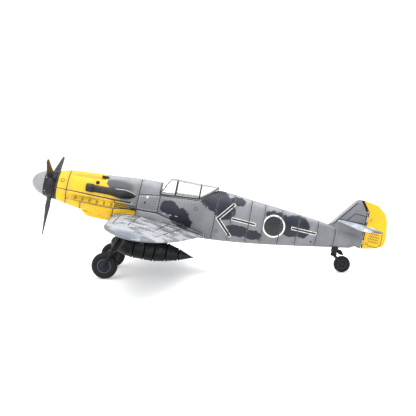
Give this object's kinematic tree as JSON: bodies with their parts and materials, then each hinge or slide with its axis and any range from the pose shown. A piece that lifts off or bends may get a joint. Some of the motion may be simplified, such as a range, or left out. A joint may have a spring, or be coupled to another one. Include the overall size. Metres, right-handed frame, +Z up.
{
  "type": "propeller plane model",
  "caption": "Desk display model of a low-wing propeller fighter with turning propeller and wheels, hinged hood, rudder and swivelling tail wheel.",
  "frame": {"origin": "on the ground, in the middle of the overall length and of the span", "axes": "+Z up with the model standing on its three wheels, nose toward -X, port wing toward -Y"},
  "size_m": [0.1824, 0.2066, 0.0591],
  "materials": {
    "airframe_paint": "moulded plastic, satin grey paint with darker mottling and black-washed panel lines",
    "wing_paint": "moulded plastic, light grey satin paint, mottled and weathered",
    "underside_paint": "moulded plastic, pale blue-grey satin paint",
    "yellow_paint": "moulded plastic, yellow satin paint",
    "intake_gray": "moulded plastic, dark blue-grey",
    "exhaust_olive": "moulded plastic, olive and rust",
    "gun_black": "moulded plastic, blue-black satin",
    "cockpit_gray": "moulded plastic, dark grey",
    "clear_plastic": "clear moulded plastic with painted frames",
    "steel_pin": "drawn wire",
    "gear_black": "moulded plastic, black satin",
    "tyre_black": "moulded plastic, matte black",
    "hub_gray": "moulded plastic, dark blue-grey",
    "spinner_gray": "moulded plastic, satin grey",
    "spinner_black": "moulded plastic, satin black",
    "blade_gray": "moulded plastic, dark grey"
  },
  "bodies": {
    "airframe": {"fuselage_left": "airframe_paint", "fuselage_right": "airframe_paint", "nose_bushing": "cockpit_gray", "chin_intake": "yellow_paint", "supercharger_intake": "intake_gray", "exhaust_left": "exhaust_olive", "exhaust_right": "exhaust_olive", "cowl_gun_left": "gun_black", "cowl_gun_right": "gun_black", "wing_lower": "underside_paint", "wing_upper_left": "wing_paint", "wing_upper_right": "wing_paint", "radiator_left": "underside_paint", "radiator_right": "underside_paint", "cockpit_tub": "cockpit_gray", "pilot_seat": "cockpit_gray", "instrument_panel": "cockpit_gray", "control_stick": "cockpit_gray", "windscreen": "clear_plastic", "rear_canopy": "clear_plastic", "hood_hinge": "steel_pin", "tailplane_left": "wing_paint", "tailplane_right": "wing_paint", "rudder_hinge": "steel_pin", "gear_leg_left": "gear_black", "gear_leg_right": "gear_black", "gear_door_left": "underside_paint", "gear_door_right": "underside_paint", "axle_left": "steel_pin", "axle_right": "steel_pin", "tail_socket": "gear_black", "tank_rack": "gun_black", "tank_half_left": "gun_black", "tank_half_right": "gun_black"},
    "propeller": {"propeller_shaft": "steel_pin", "shaft_retainer": "cockpit_gray", "spinner_backplate": "spinner_black", "spinner_ring": "spinner_black", "spinner_cap": "spinner_gray", "propeller_blades": "blade_gray"},
    "main_wheel_left": {"wheel_hub_left": "hub_gray", "tyre_left": "tyre_black"},
    "main_wheel_right": {"wheel_hub_right": "hub_gray", "tyre_right": "tyre_black"},
    "hood": {"canopy_hood": "clear_plastic"},
    "rudder": {"rudder": "yellow_paint"},
    "tail_fork": {"tail_fork": "gear_black", "tail_axle": "steel_pin"},
    "tail_wheel": {"tail_wheel_hub": "hub_gray", "tail_tyre": "tyre_black"}
  },
  "joints": [
    {"name": "propeller_spin", "type": "hinge", "parent": "airframe", "child": "propeller", "pos_m": [-0.08135, 0, 0.0457], "axis": [-0.9798, 0, 0.1998], "continuous": true},
    {"name": "main_wheel_left_spin", "type": "hinge", "parent": "airframe", "child": "main_wheel_left", "pos_m": [-0.05229, -0.019, 0.0065], "axis": [0, 1, 0], "continuous": true},
    {"name": "main_wheel_right_spin", "type": "hinge", "parent": "airframe", "child": "main_wheel_right", "pos_m": [-0.05229, 0.019, 0.0065], "axis": [0, 1, 0], "continuous": true},
    {"name": "hood_swing", "type": "hinge", "parent": "airframe", "child": "hood", "pos_m": [-0.01776, 0.00835, 0.0407], "axis": [-0.9919, 0, 0.1271], "range_deg": [0, 85]},
    {"name": "rudder_swing", "type": "hinge", "parent": "airframe", "child": "rudder", "pos_m": [0.08055, 0, 0.02084], "axis": [0.1998, 0, 0.9798], "range_deg": [-25, 25]},
    {"name": "tail_fork_swivel", "type": "hinge", "parent": "airframe", "child": "tail_fork", "pos_m": [0.06394, 0, 0.00994], "axis": [0.1998, 0, 0.9798], "range_deg": [-35, 35]},
    {"name": "tail_wheel_spin", "type": "hinge", "parent": "tail_fork", "child": "tail_wheel", "pos_m": [0.0681, 0, 0.0043], "axis": [0, 1, 0], "continuous": true}
  ]
}
